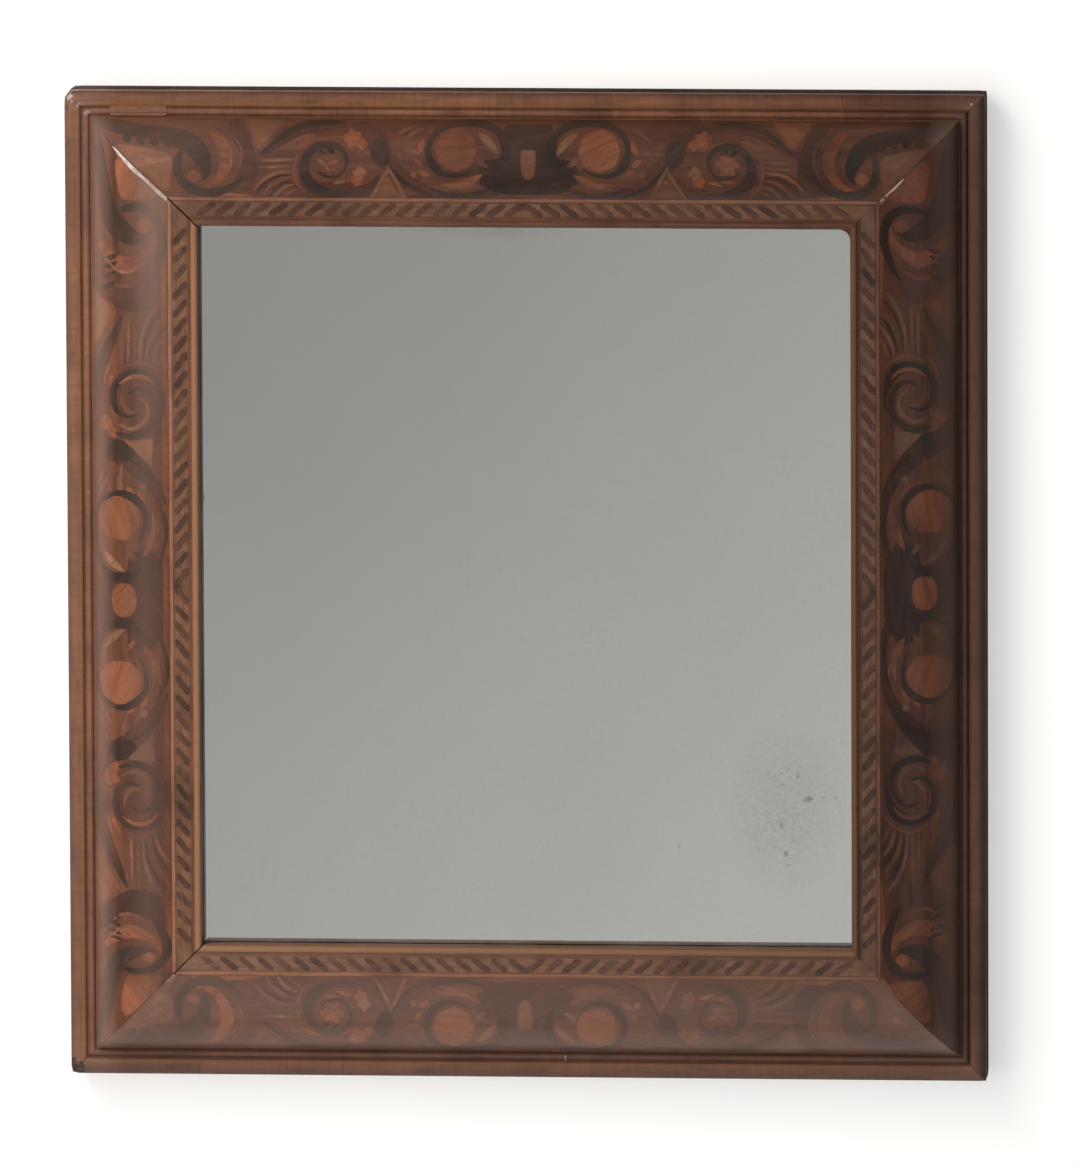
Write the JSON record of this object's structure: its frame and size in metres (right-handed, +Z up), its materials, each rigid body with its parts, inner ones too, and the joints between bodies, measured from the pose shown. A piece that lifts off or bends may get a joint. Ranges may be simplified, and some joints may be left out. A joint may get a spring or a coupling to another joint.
{
  "type": "wall mirror",
  "caption": "Nearly square wall mirror in a half-round cushion frame with scrolling marquetry, a rope-twist string, old silvered glass and ring hangers on the back.",
  "frame": {"origin": "centre of the back face of the backboards, which lies on the wall", "axes": "+Z up, -Y out of the wall towards the viewer, +X to the viewer's right"},
  "size_m": [0.64, 0.056, 0.692],
  "materials": {
    "softwood": "aged pine, planed",
    "pegs": "riven hardwood",
    "side_band": "dark stained, worn polish",
    "outer_moulding": "reddish polished hardwood, worn",
    "marquetry": "dark and mid-brown marquetry veneer, waxed",
    "light_string": "light stringing, waxed",
    "rope_string": "dark and light twisted stringing",
    "sight_slip": "light fillet wood, waxed",
    "glass": "old blown plate, faintly wavy",
    "silvering": "tarnished tin amalgam with foxing",
    "backboard": "rough aged pine",
    "iron": "rusted dark iron",
    "brass": "tarnished brass"
  },
  "bodies": {
    "frame": {"core_rail_top": "softwood", "core_rail_bottom": "softwood", "core_stile_left": "softwood", "core_stile_right": "softwood", "cushion_top": "softwood", "cushion_bottom": "softwood", "cushion_left": "softwood", "cushion_right": "softwood", "glazing_blocks": "softwood", "lap_pegs": "pegs", "side_band_top": "side_band", "side_band_bottom": "side_band", "side_band_left": "side_band", "side_band_right": "side_band", "outer_moulding_top": "outer_moulding", "outer_moulding_bottom": "outer_moulding", "outer_moulding_left": "outer_moulding", "outer_moulding_right": "outer_moulding", "marquetry_top": "marquetry", "marquetry_bottom": "marquetry", "marquetry_left": "marquetry", "marquetry_right": "marquetry", "light_string_top": "light_string", "light_string_bottom": "light_string", "light_string_left": "light_string", "light_string_right": "light_string", "rope_string_top": "rope_string", "rope_string_bottom": "rope_string", "rope_string_left": "rope_string", "rope_string_right": "rope_string", "sight_slip_top": "sight_slip", "sight_slip_bottom": "sight_slip", "sight_slip_left": "sight_slip", "sight_slip_right": "sight_slip", "mirror_glass": "glass", "mirror_silvering": "silvering", "backboard_left": "backboard", "backboard_centre": "backboard", "backboard_right": "backboard", "backboard_nails": "iron", "hanger_screws": "iron", "hanger_strap_left": "brass", "hanger_strap_right": "brass"},
    "left_ring": {"hanger_ring_left": "brass"},
    "right_ring": {"hanger_ring_right": "brass"}
  },
  "joints": [
    {"name": "left_ring_swing", "type": "hinge", "parent": "frame", "child": "left_ring", "pos_m": [-0.289, -0.0049, 0.17], "axis": [1, 0, 0], "range_deg": [0, 180]},
    {"name": "right_ring_swing", "type": "hinge", "parent": "frame", "child": "right_ring", "pos_m": [0.289, -0.0049, 0.17], "axis": [1, 0, 0], "range_deg": [0, 180]}
  ]
}
